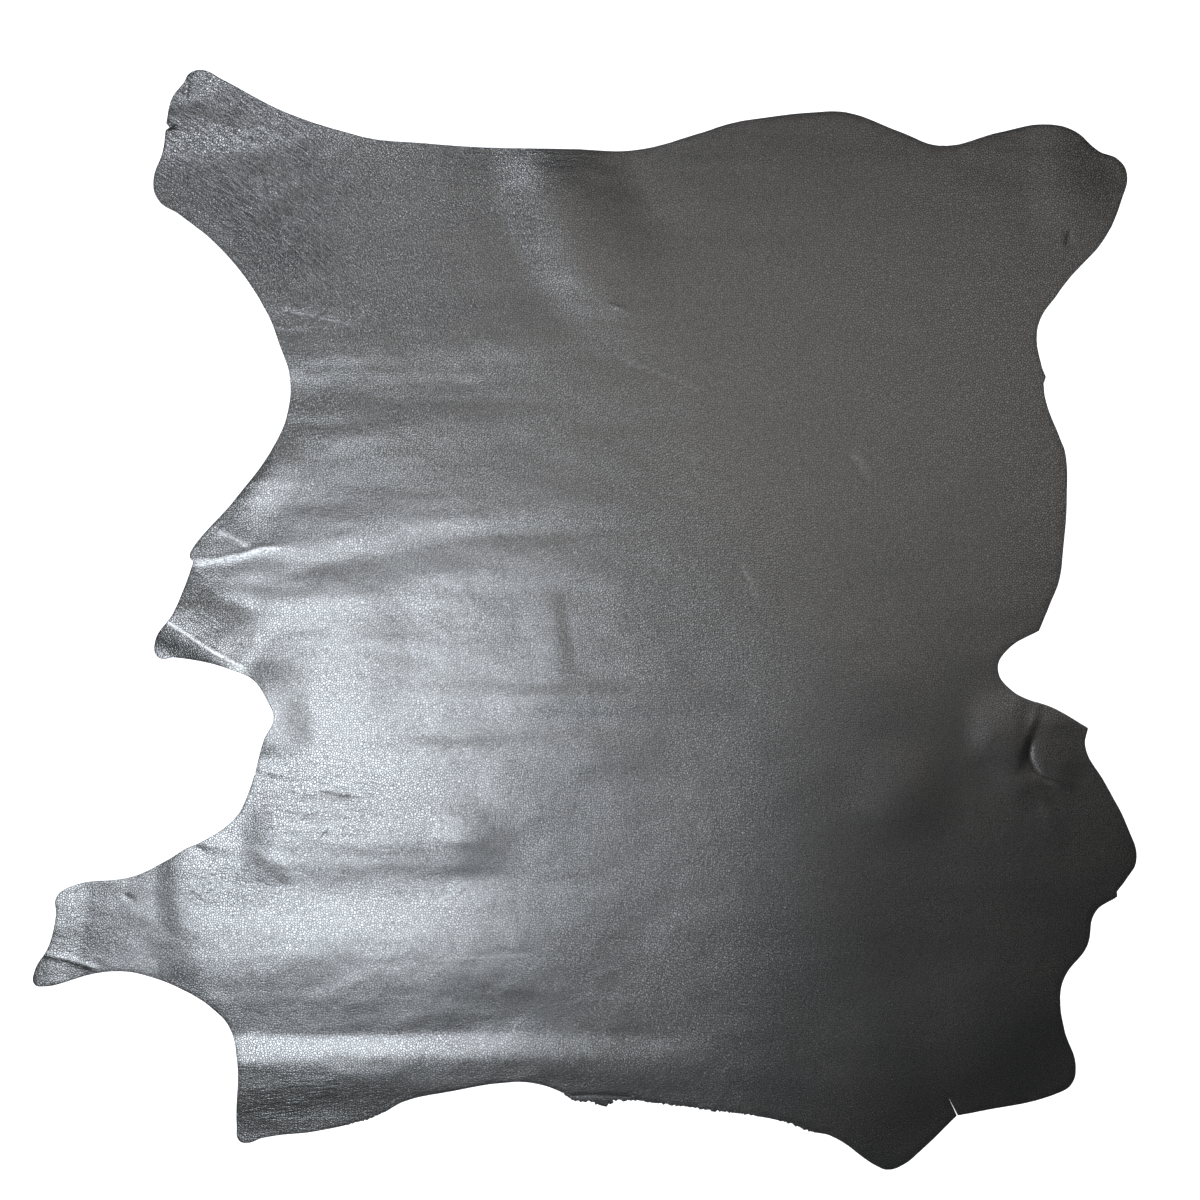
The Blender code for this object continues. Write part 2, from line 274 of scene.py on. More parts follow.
@dataclass(frozen=True)
class Fold:
    """A soft fold or a crease of the skin, in millimetres.

    It stands `height` high along its crest, or sinks along it where its height is below 0, and comes back to
    the surface `left` and `right` of it, looking along the crest. It dies away over the last `fade_in` and
    `fade_out` of the crest, and where that is 0 it runs out over the rim.
    """

    name: str
    height: float
    left: float
    right: float
    fade_in: float
    fade_out: float
    crest: tuple[tuple[float, float], ...]

    def line(self, steps: int = 8) -> np.ndarray:
        """Finds points along a smooth curve through the crest's own points.

        Args:
            steps: How many steps each stretch between two points is cut into.

        Returns:
            The points, one a row, in metres.
        """
        knots = np.array(self.crest, float) * MM
        ends = (2 * knots[0] - knots[1], 2 * knots[-1] - knots[-2])
        knots = np.vstack([ends[0], knots, ends[1]])
        points = []
        for a, b, c, d in zip(knots, knots[1:], knots[2:], knots[3:]):
            for step in range(steps):
                t = step / steps
                bend = 2 * b + (c - a) * t + (2 * a - 5 * b + 4 * c - d) * t**2
                points.append((bend + (3 * b - a - 3 * c + d) * t**3) / 2)
        return np.array(points + [knots[-2]])

    def lift(self, places: np.ndarray) -> np.ndarray:
        """Finds how high the fold raises each place on the skin.

        Args:
            places: Points on the flat skin, one a row, in metres.

        Returns:
            A height for each place, in metres.
        """
        crest = self.line()
        reach = max(self.left, self.right) * MM
        inside = (places > crest.min(axis=0) - reach) & (places < crest.max(axis=0) + reach)
        near = np.flatnonzero(inside.all(axis=1))
        heights = np.zeros(len(places))
        if len(near):
            heights[near] = self._rise(places[near], crest)
        return heights

    def _rise(self, places: np.ndarray, crest: np.ndarray) -> np.ndarray:
        """Finds the fold's height at places near it.

        Args:
            places: Points on the flat skin, one a row.
            crest: Points along the crest, one a row.

        Returns:
            A height for each place.
        """
        starts, runs = crest[:-1], np.diff(crest, axis=0)
        lengths = np.linalg.norm(runs, axis=1)
        begun = np.concatenate([[0], np.cumsum(lengths)[:-1]])
        offset = places[:, None, :] - starts[None]
        share = np.clip((offset * runs).sum(axis=2) / lengths**2, 0, 1)
        gap = offset - share[..., None] * runs
        away = np.linalg.norm(gap, axis=2)
        nearest = away.argmin(axis=1)
        row = np.arange(len(places))
        away, gap, run = away[row, nearest], gap[row, nearest], runs[nearest]
        on_left = run[:, 0] * gap[:, 1] - run[:, 1] * gap[:, 0] > 0
        width = np.where(on_left, self.left, self.right) * MM
        along = begun[nearest] + share[row, nearest] * lengths[nearest]
        height = self.height * MM * np.clip(1 - (away / width) ** 2, 0, None) ** 2
        for fade, done in ((self.fade_in, along), (self.fade_out, lengths.sum() - along)):
            if fade:
                height *= np.sin(np.clip(done / (fade * MM), 0, 1) * np.pi / 2) ** 2
        return height

    def rails(self, step: float) -> tuple[np.ndarray, np.ndarray]:
        """Lays rows of points along the crest and on both of its slopes, for the mesh to follow.

        Args:
            step: The longest step along a row, in metres.

        Returns:
            The points, one a row.
        """
        rough = self.line(40)
        lengths = np.concatenate([[0], np.cumsum(np.linalg.norm(np.diff(rough, axis=0), axis=1))])
        count = max(3, round(lengths[-1] / step))
        at = np.linspace(0, lengths[-1], count)
        line = np.stack([np.interp(at, lengths, rough[:, axis]) for axis in (0, 1)], axis=1)
        run = np.gradient(line, axis=0)
        run /= np.linalg.norm(run, axis=1)[:, None]
        across = np.stack([-run[:, 1], run[:, 0]], axis=1)
        sides = [share * self.left * MM for share in (1, 0.66, 0.33)]
        sides += [-share * self.right * MM for share in (0, 0.33, 0.66, 1)]
        return np.vstack([line + across * side for side in sides])


FOLDS = (
    Fold("upper left tip", 0.7, 45, 18, 0, 60, ((-400, 466), (-345, 466), (-290, 452))),
    Fold("upper left leg", 1, 30, 54, 0, 160, ((-420, 417), (-300, 418), (-180, 410))),
    Fold("top wave", 3.1, 80, 54, 100, 180,
         ((-30, 480), (-33, 423), (-27, 378), (-5, 333), (20, 301), (56, 276), (104, 260))),
    Fold("upper left bend", 0.8, 45, 40, 30, 40, ((-318, 372), (-279, 349), (-252, 322), (-232, 290))),
    Fold("first left fold", 1.1, 40, 54, 0, 90, ((-310, 250), (-211, 252), (-120, 250))),
    Fold("first left fold, faint end", 0.6, 40, 36, 60, 140, ((-180, 250), (-60, 254), (60, 258))),
    Fold("second left fold", 0.5, 17, 14, 0, 60, ((-300, 184), (-220, 187), (-160, 196))),
    Fold("third left fold", 0.8, 24, 56, 0, 120, ((-310, 154), (-256, 160), (-148, 171), (-60, 178))),
    Fold("left rim lift", 0.9, 28, 20, 30, 30, ((-262, 166), (-290, 122), (-318, 90))),
    Fold("fourth left fold", 0.7, 60, 28, 40, 120,
         ((-300, 60), (-256, 69), (-166, 88), (-76, 100), (14, 105), (86, 108))),
    Fold("notch fold", 0.4, 50, 8, 0, 50, ((-375, 53), (-324, 58), (-290, 65), (-250, 68))),
    Fold("neck root swell", 0.8, 62, 62, 50, 50, ((-212, -110), (-214, -20), (-218, 70))),
    Fold("main left fold", 0.6, 40, 30, 30, 150,
         ((-301, 18), (-256, 20), (-211, 25), (-148, 37), (-76, 47), (14, 52), (100, 52))),
    Fold("neck flap fold", 2.5, 54, 28, 0, 40, ((-400, 12), (-364, -8), (-330, -29), (-298, -48))),
    Fold("neck rim lift", 2.4, 46, 44, 66, 42, ((-292, -18), (-286, -44), (-284, -85), (-290, -134))),
    Fold("short pleat", 0.3, 14, 36, 30, 40, ((-30, 34), (-28, 0), (-24, -27), (-16, -66))),
    Fold("middle fold", 0.6, 18, 20, 80, 100, ((-120, -74), (-30, -71), (60, -70), (150, -68))),
    Fold("lower middle fold", 0.7, 24, 44, 60, 100, ((-240, -128), (-130, -124), (-30, -118), (90, -108))),
    Fold("belly fold", 1.6, 50, 54, 40, 180,
         ((-315, -194), (-229, -194), (-166, -189), (-76, -181), (20, -176))),
    Fold("belly pocket", 0.7, 30, 44, 40, 60, ((-146, -199), (-110, -198), (-60, -194))),
    Fold("leg end", 1.2, 40, 34, 0, 0, ((-484, -225), (-489, -290), (-494, -350))),
    Fold("leg root fold", 0.9, 50, 28, 0, 60, ((-357, -190), (-361, -243), (-355, -275), (-350, -300))),
    Fold("lower fold", 1.25, 60, 80, 50, 200,
         ((-386, -326), (-319, -302), (-256, -299), (-166, -302), (-76, -297), (59, -290))),
    Fold("hem fold", 1.5, 28, 60, 40, 310,
         ((-350, -400), (-256, -400), (-76, -396), (103, -402), (215, -414))),
    Fold("upper right leg", 0.8, 50, 34, 0, 60, ((427, 480), (427, 415), (431, 370), (438, 330))),
    Fold("right pinch, inner", 0.5, 18, 30, 25, 30, ((384, -60), (384, -108), (391, -139), (412, -166))),
    Fold("right pinch, outer", 0.6, 42, 14, 20, 30, ((409, -76), (411, -112), (421, -136), (448, -150))),
    Fold("pinch swell", 1.1, 48, 30, 26, 9, ((340, -104), (370, -104), (403, -114))),
    Fold("flank swell", 1.2, 150, 140, 0, 110,
         ((188, -500), (188, -300), (208, -160), (246, -70), (272, 40))),
    Fold("flank spot", 0.8, 50, 60, 50, 50, ((285, -100), (290, -153), (292, -210))),
    Fold("rump swell", 1.1, 110, 66, 110, 110,
         ((190, -400), (260, -402), (335, -392), (385, -350), (402, -280))),
)

# The creases are on the grain side alone. Some are ridges, and the rest are troughs.
CREASES = (
    Fold("upper left tip crease", -0.2, 4, 4, 0, 6, ((-358, 490), (-358, 479), (-360, 467))),
    Fold("upper left tear", -0.7, 4, 3, 0, 8, ((-380, 442), (-374, 444), (-366, 441))),
    Fold("hollow crease", 0.15, 3, 4, 8, 18, ((-274, 279), (-257, 275), (-238, 271), (-204, 264))),
    Fold("hollow rim crease", -0.15, 4, 5, 0, 20, ((-292, 268), (-270, 264), (-240, 264))),
    Fold("top wave crease", 0.15, 2.5, 3, 6, 8, ((18, 286), (30, 281), (43, 277))),
    Fold("notch ridge", 0.16, 5, 4, 0, 18,
         ((-356, 54), (-342, 53), (-310, 59), (-291, 65), (-270, 66))),
    Fold("notch branch", 0.16, 9, 4, 6, 8, ((-333, 81), (-315, 74), (-301, 65))),
    Fold("neck flap ridge", 0.14, 4, 4, 0, 8,
         ((-378, 0), (-364, -9), (-346, -21), (-328, -32), (-304, -44))),
    Fold("neck flap side crease", -0.12, 3, 3, 0, 8, ((-374, -15), (-364, -13), (-352, -19))),
    Fold("long ridge", 0.25, 16, 9, 20, 60, ((-340, 33), (-318, 26), (-300, 19), (-265, 14), (-210, 19))),
    Fold("belly crease 1", -0.12, 2.5, 2.5, 4, 6, ((-292, -191), (-283, -188), (-272, -187))),
    Fold("belly crease 2", -0.15, 2.5, 3, 4, 4, ((-256, -180), (-248, -173), (-238, -173))),
    Fold("belly crease 3", -0.15, 2.5, 2.5, 4, 4, ((-239, -199), (-234, -194), (-230, -188))),
    Fold("belly crease 4", -0.12, 3, 3, 8, 10, ((-240, -152), (-220, -156), (-202, -158))),
    Fold("nick crease", -0.16, 3, 4, 0, 14, ((-297, -137), (-279, -141), (-258, -146))),
    Fold("hem line", -0.12, 1.6, 1.6, 3, 6, ((-13, -428), (14, -427.5), (44, -429.5))),
    Fold("leg root arc", 0.15, 8, 12, 12, 16,
         ((-346, -203), (-310, -207), (-283, -214), (-267, -227), (-259, -241), (-266, -254), (-281, -262))),
    Fold("leg rim curl", -0.25, 5, 6, 4, 8, ((-362, -203), (-350, -205), (-336, -209))),
    Fold("leg pock", -0.25, 4, 4, 5, 5, ((-417, -247), (-410, -250), (-403, -253))),
    Fold("leg tip crease", 0.3, 3.5, 4, 0, 14, ((-485, -301), (-463, -306), (-434, -316))),
    Fold("pinch line", -0.24, 4, 3, 10, 16,
         ((401, -106), (400, -120), (403, -131), (412, -142), (430, -150))),
    Fold("pinch lip", 0.06, 5, 3, 8, 26,
         ((405, -108), (404, -120), (408, -131), (418, -142), (455, -152))),
    Fold("pinch tail", 0.14, 8, 8, 10, 30, ((405, -135), (414, -165), (428, -207))),
    Fold("upper right dent", -0.25, 5, 4, 6, 8, ((438, 352), (435, 343), (433, 333))),
)


@dataclass(frozen=True)
class Region:
    """A box of the flat skin, in millimetres, and the size of the mesh cells in it."""

    name: str
    left: float
    right: float
    low: float
    high: float
    cell: float

    def holds(self, places: np.ndarray) -> np.ndarray:
        """Says which places lie in the region.

        Args:
            places: Points on the flat skin, one a row, in metres.

        Returns:
            True or False for each place.
        """
        x, y = places[:, 0] / MM, places[:, 1] / MM
        return (x >= self.left) & (x < self.right) & (y >= self.low) & (y < self.high)

    def cells(self, scale: float) -> np.ndarray:
        """Lays out the region's cells, in rows that are shifted by half a cell in turn.

        Args:
            scale: How much larger than its own the cells are.

        Returns:
            The cells' corners, one a row, in metres.
        """
        step = self.cell * scale
        rows = []
        for row, y in enumerate(np.arange(self.low, self.high, step * math.sqrt(3) / 2)):
            x = np.arange(self.left + (row % 2) * step / 2, self.right, step)
            rows.append(np.stack([x, np.full(len(x), y)], axis=1))
        return np.vstack(rows) * MM


# The first region that holds a place gives its cells.
REGIONS = (
    Region("right pinch", 372, 470, -180, -50, 3),
    Region("upper right leg", 385, 495, 320, 450, 4),
    Region("folded side", -500, -60, -500, 500, 2.7),
    Region("middle", -60, 150, -500, 500, 3.7),
    Region("smooth side", 150, 500, -500, 500, 6.5),
)


@dataclass(frozen=True)
class ScarAndHighlight:
    """A pale line on the grain, in millimetres, from one end to the other: a healed scratch, and along some
    ridges a painted highlight.
    """

    name: str
    width: float
    strength: float
    line: tuple[tuple[float, float], ...]


# Pale lines on the grain. Along the notch ridge, the notch branch and the neck flap ridge they are painted
# highlights where those ridges catch the light; the others are healed scratches.
SCARS_AND_HIGHLIGHTS = (
    ScarAndHighlight("lobe scratch", 2.0, 0.08, ((-317, 371), (-307, 361), (-297, 349))),
    ScarAndHighlight("hollow crease", 1.6, 0.12, ((-274, 279), (-257, 275), (-238, 271), (-204, 264))),
    ScarAndHighlight("notch ridge", 2.6, 0.6, ((-354, 52), (-342, 51), (-310, 57), (-291, 63), (-274, 64))),
    ScarAndHighlight("notch branch", 2.2, 0.35, ((-333, 80), (-315, 73), (-301, 64))),
    ScarAndHighlight("neck flap ridge", 2.4, 0.9, ((-378, 0), (-364, -9), (-346, -21), (-328, -32), (-304, -44))),
    ScarAndHighlight("belly scratch", 2.4, 0.11, ((-139, -257), (-120, -246), (-103, -234))),
    ScarAndHighlight("belly tick", 2.0, 0.07, ((0, -218), (2, -230))),
    ScarAndHighlight("shoulder scratch", 2.6, 0.06, ((32, 234), (68, 222), (104, 207))),
    ScarAndHighlight("back scratch", 2.4, 0.06, ((95, 149), (99, 138), (104, 126))),
    ScarAndHighlight("flank scratch", 3.0, 0.06, ((140, 54), (148, 36), (158, 18))),
    ScarAndHighlight("rib scratch", 3.0, 0.05, ((239, 153), (252, 136), (266, 117))),
    ScarAndHighlight("long belly scratch", 2.4, 0.05, ((-139, -306), (-95, -303), (-49, -302))),
)


class Recipe:
    """The node graph of one material, filled in line by line."""

    def __init__(self, name: str) -> None:
        """Starts the material.

        Args:
            name: The material's name.
        """
        self.material = bpy.data.materials.new(name)
        self.material.use_nodes = True
        self.tree = self.material.node_tree
        self.shader = self.tree.nodes["Principled BSDF"]
        self.place = self.node("ShaderNodeTexCoord").outputs["Object"]

    def node(self, kind: str, values: dict | None = None, **settings: object) -> bpy.types.Node:
        """Adds a node.

        Args:
            kind: Blender's name of the node's type.
            values: A number, vector or socket for each of the node's inputs that is set.
            settings: The node's own options.

        Returns:
            The new node.
        """
        made = self.tree.nodes.new(kind)
        for name, value in settings.items():
            setattr(made, name, value)
        for socket, value in (values or {}).items():
            self.feed(made.inputs[socket], value)
        return made

    def feed(self, socket: bpy.types.NodeSocket, value: object) -> None:
        """Sets a socket to a value, or joins it to another socket.

        Args:
            socket: The input to set.
            value: A number, a vector, a colour or an output socket.
        """
        if isinstance(value, bpy.types.NodeSocket):
            self.tree.links.new(value, socket)
        else:
            socket.default_value = value

    def finish(self, **inputs: object) -> bpy.types.Material:
        """Sets the shader's inputs by name.

        Args:
            inputs: A value or a socket for each input, with underscores for spaces.

        Returns:
            The finished material.
        """
        for name, value in inputs.items():
            self.feed(self.shader.inputs[name.replace("_", " ")], value)
        return self.material

    def maths(self, operation: str, a: object, b: object = 0.0) -> bpy.types.NodeSocket:
        """Joins two numbers by an operation of the Math node, such as ADD."""
        return self.node("ShaderNodeMath", {0: a, 1: b}, operation=operation).outputs[0]

    def vector(self, operation: str, a: object, b: object = (0, 0, 0)) -> bpy.types.Node:
        """Joins two vectors by an operation of the Vector Math node, such as ADD."""
        return self.node("ShaderNodeVectorMath", {0: a, 1: b}, operation=operation)

    def ramp(self, value: object, start: float, end: float, low: float, high: float) -> bpy.types.NodeSocket:
        """Eases a number from low, where it is start, to high, where it is end."""
        values = {"Value": value, "From Min": start, "From Max": end, "To Min": low, "To Max": high}
        return self.node("ShaderNodeMapRange", values, interpolation_type="SMOOTHSTEP").outputs[0]

    def noise(self, size: float, detail: float = 2.0, place: object = None) -> bpy.types.Node:
        """Adds soft flat noise.

        Args:
            size: The size of its lumps in metres.
            detail: How many finer layers it has.
            place: The point that it is read at, or the place on the piece.

        Returns:
            The noise's node.
        """
        values = {"Vector": place or self.place, "Scale": 1 / size, "Detail": detail}
        return self.node("ShaderNodeTexNoise", values, noise_dimensions="2D")

    def mix(self, share: object, low: object, high: object) -> bpy.types.NodeSocket:
        """Mixes two colours: low where the share is 0, high where it is 1."""
        made = self.node("ShaderNodeMix", {0: share, 6: low, 7: high}, data_type="RGBA")
        return made.outputs[2]


@dataclass(frozen=True)
class Wrinkles:
    """A patch of fine wrinkles in the grain, in millimetres and degrees from +X."""

    name: str
    x: float
    y: float
    along: float
    across: float
    heading: float
    spacing: float
    depth: float
    stretch: float = 8.0

    def relief(self, recipe: Recipe) -> bpy.types.NodeSocket:
        """Adds the patch's height to a material.

        Args:
            recipe: The material.

        Returns:
            The height, 0 outside the patch.
        """
        centre = (self.x * MM, self.y * MM, 0)
        offset = recipe.vector("SUBTRACT", recipe.place, centre).outputs[0]
        turn = {"Vector": offset, "Angle": -math.radians(self.heading)}
        local = recipe.node("ShaderNodeVectorRotate", turn).outputs[0]
        shares = (1 / (self.along * MM), 1 / (self.across * MM), 0)
        gone = recipe.vector("LENGTH", recipe.vector("MULTIPLY", local, shares).outputs[0]).outputs["Value"]
        held = recipe.ramp(gone, 0.35, 1.0, self.depth * MM, 0.0)
        drawn = recipe.vector("MULTIPLY", local, (1 / self.stretch, 1, 0)).outputs[0]
        waves = recipe.noise(self.spacing * MM, 1.0, drawn).outputs[0]
        return recipe.maths("MULTIPLY", recipe.ramp(waves, 0.32, 0.62, -1.0, 0.0), held)


WRINKLES = (
    Wrinkles("upper left lobe", -310, 420, 180, 96, -34, 1.9, 0.05),
    Wrinkles("upper hollow", -270, 330, 110, 50, -42, 2.0, 0.04),
    Wrinkles("top edge", -70, 414, 110, 16, 0, 2.4, 0.04),
    Wrinkles("neck flap", -350, 20, 60, 50, -34, 2.6, 0.03),
    Wrinkles("leg tip", -452, -285, 60, 46, 12, 2.4, 0.028, 3.0),
    Wrinkles("leg root", -318, -240, 76, 36, -8, 2.4, 0.035, 2.2),
    Wrinkles("belly", -230, -165, 120, 60, -4, 3.0, 0.03),
    Wrinkles("lower left corner", -262, -430, 66, 40, 8, 2.6, 0.03),
)


@dataclass(frozen=True)
class GrainFinish:
    """The grain side: black and pebbled, with painted shade in the grooves, which are also dull, under a
    thin clear finish that shines.
    """

    black: tuple[float, float, float, float] = (0.009, 0.009, 0.009, 1)
    faded: tuple[float, float, float, float] = (0.015, 0.0135, 0.0125, 1)
    # Painted shade: the darker colour of the grooves between the pebbles.
    groove_shade: tuple[float, float, float, float] = (0.003, 0.003, 0.003, 1)
    # The pale colour of the scratches, and of the highlights painted along the notch and neck flap ridges.
    scar_and_highlight_white: tuple[float, float, float, float] = (0.85, 0.85, 0.84, 1)
    sheen_of_dye: tuple[float, float, float, float] = (1, 0.96, 0.91, 1)
    coat_roughness: float = 0.19
    groove_shine: float = 0.45
    crease_depth: float = 0.06 * MM
    crease_shine: float = 0.6
    roughness: float = 0.29
    groove_roughness: float = 0.1
    pebble: float = 2.1 * MM
    pebble_depth: float = 0.034 * MM
    lump_depth: float = 0.03 * MM
    pore_depth: float = 0.03 * MM

    def pebbles(self, recipe: Recipe) -> bpy.types.NodeSocket:
        """Adds the pattern of pebbles: 1 on them, 0 in the grooves between them.

        Args:
            recipe: The material.

        Returns:
            The pattern.
        """
        sway = recipe.noise(3.4 * MM, 1.0).outputs["Color"]
        sway = recipe.vector("SCALE", recipe.vector("SUBTRACT", sway, (0.5, 0.5, 0.5)).outputs[0])
        sway.inputs["Scale"].default_value = 2.2 * MM
        warped = recipe.vector("ADD", recipe.place, sway.outputs[0]).outputs[0]
        cell = {"Vector": warped, "Scale": 1 / self.pebble}
        edge = recipe.node("ShaderNodeTexVoronoi", cell, voronoi_dimensions="2D", feature="DISTANCE_TO_EDGE")
        return recipe.ramp(edge.outputs["Distance"], 0.0, 0.3, 0.0, 1.0)

    def wrinkles(self, recipe: Recipe) -> bpy.types.NodeSocket:
        """Adds the height of all the patches of wrinkles.

        Args:
            recipe: The material.

        Returns:
            The height, in metres and at most 0.
        """
        height = WRINKLES[0].relief(recipe)
        for patch in WRINKLES[1:]:
            height = recipe.maths("ADD", height, patch.relief(recipe))
        return height

    def relief(
        self, recipe: Recipe, pebbles: bpy.types.NodeSocket, wrinkles: bpy.types.NodeSocket
    ) -> bpy.types.NodeSocket:
        """Adds the height of the grain, with its pores and its wrinkles.

        Args:
            recipe: The material.
            pebbles: The pattern of pebbles.
            wrinkles: The wrinkles' height.

        Returns:
            The height, in metres.
        """
        pore = {"Vector": recipe.place, "Scale": 1 / (1.5 * self.pebble)}
        pit = recipe.node("ShaderNodeTexVoronoi", pore, voronoi_dimensions="2D")
        layers = [
            recipe.maths("MULTIPLY", pebbles, self.pebble_depth),
            recipe.maths("MULTIPLY", recipe.noise(7 * MM, 2.0).outputs[0], self.lump_depth),
            recipe.ramp(pit.outputs["Distance"], 0.02, 0.12, -self.pore_depth, 0.0),
        ]
        height = wrinkles
        for layer in layers:
            height = recipe.maths("ADD", height, layer)
        return height

    def material(self) -> bpy.types.Material:
        """Makes the material.

        Returns:
            The material.
        """
        recipe = Recipe("grain_leather")
        pebbles = self.pebbles(recipe)
        wrinkles = self.wrinkles(recipe)
        height = self.relief(recipe, pebbles, wrinkles)
        bump = recipe.node("ShaderNodeBump", {"Height": height, "Distance": 1.0})

        scar_and_highlight = recipe.node("ShaderNodeAttribute", attribute_name="scar_and_highlight").outputs["Fac"]
        patchy = recipe.ramp(recipe.noise(2.6 * MM, 2.0).outputs[0], 0.2, 0.6, 0, 1)
        broken_scar_and_highlight = recipe.maths("MULTIPLY", scar_and_highlight, patchy)
        cloud = recipe.noise(70 * MM, 3.0).outputs[0]
        colour = recipe.mix(recipe.ramp(cloud, 0.35, 0.65, 0.0, 1.0), self.black, self.faded)
        # Painted shade: the grooves between the pebbles are coloured darker.
        colour = recipe.mix(pebbles, self.groove_shade, colour)
        # Pale colour for the healed scratches, and painted highlights along the notch and neck flap ridges.
        colour = recipe.mix(broken_scar_and_highlight, colour, self.scar_and_highlight_white)
        rough = recipe.ramp(pebbles, 0.0, 1.0, self.roughness + self.groove_roughness, self.roughness)
        rough = recipe.maths("ADD", rough, recipe.maths("MULTIPLY", broken_scar_and_highlight, 0.2))
        shine = recipe.ramp(pebbles, 0.0, 1.0, self.groove_shine, 1.0)
        creased = recipe.ramp(wrinkles, -self.crease_depth, 0.0, self.crease_shine, 1.0)
        shine = recipe.maths("MULTIPLY", shine, creased)
        return recipe.finish(
            Base_Color=colour,
            Roughness=rough,
            Normal=bump.outputs[0],
            Specular_IOR_Level=recipe.maths("MULTIPLY", shine, 0.3),
            Specular_Tint=self.sheen_of_dye,
            Coat_Weight=shine,
            Coat_Roughness=self.coat_roughness,
            Coat_Normal=bump.outputs[0],
        )


@dataclass(frozen=True)
class CutEdgeFinish:
    """The raw edge: grey fibres that the dye reached only in part."""

    core: tuple[float, float, float, float] = (0.34, 0.33, 0.32, 1)
    dyed: tuple[float, float, float, float] = (0.12, 0.12, 0.12, 1)

    def material(self) -> bpy.types.Material:
        """Makes the material.

        Returns:
            The material.
        """
        recipe = Recipe("cut_edge")
        fibres = recipe.noise(0.5 * MM, 3.0).outputs[0]
        patches = recipe.noise(14 * MM, 2.0).outputs[0]
        share = recipe.ramp(recipe.maths("ADD", fibres, patches), 0.8, 1.2, 0.0, 1.0)
        bump = recipe.node("ShaderNodeBump", {"Height": fibres, "Distance": 0.25 * MM})
        colour = recipe.mix(share, self.dyed, self.core)
        return recipe.finish(Base_Color=colour, Roughness=0.9, Normal=bump.outputs[0])


@dataclass(frozen=True)
class FleshFinish:
    """The flesh side: charcoal suede with a short nap."""

    light: tuple[float, float, float, float] = (0.075, 0.072, 0.07, 1)
    dark: tuple[float, float, float, float] = (0.035, 0.034, 0.034, 1)

    def material(self) -> bpy.types.Material:
        """Makes the material.

        Returns:
            The material.
        """
        recipe = Recipe("flesh_side")
        nap = recipe.noise(0.9 * MM, 4.0).outputs[0]
        strokes = recipe.noise(22 * MM, 3.0).outputs[0]
        share = recipe.ramp(recipe.maths("ADD", nap, strokes), 0.75, 1.25, 0.0, 1.0)
        bump = recipe.node("ShaderNodeBump", {"Height": nap, "Distance": 0.3 * MM})
        colour = recipe.mix(share, self.dark, self.light)
        return recipe.finish(Base_Color=colour, Roughness=0.95, Normal=bump.outputs[0], Sheen_Weight=0.25)


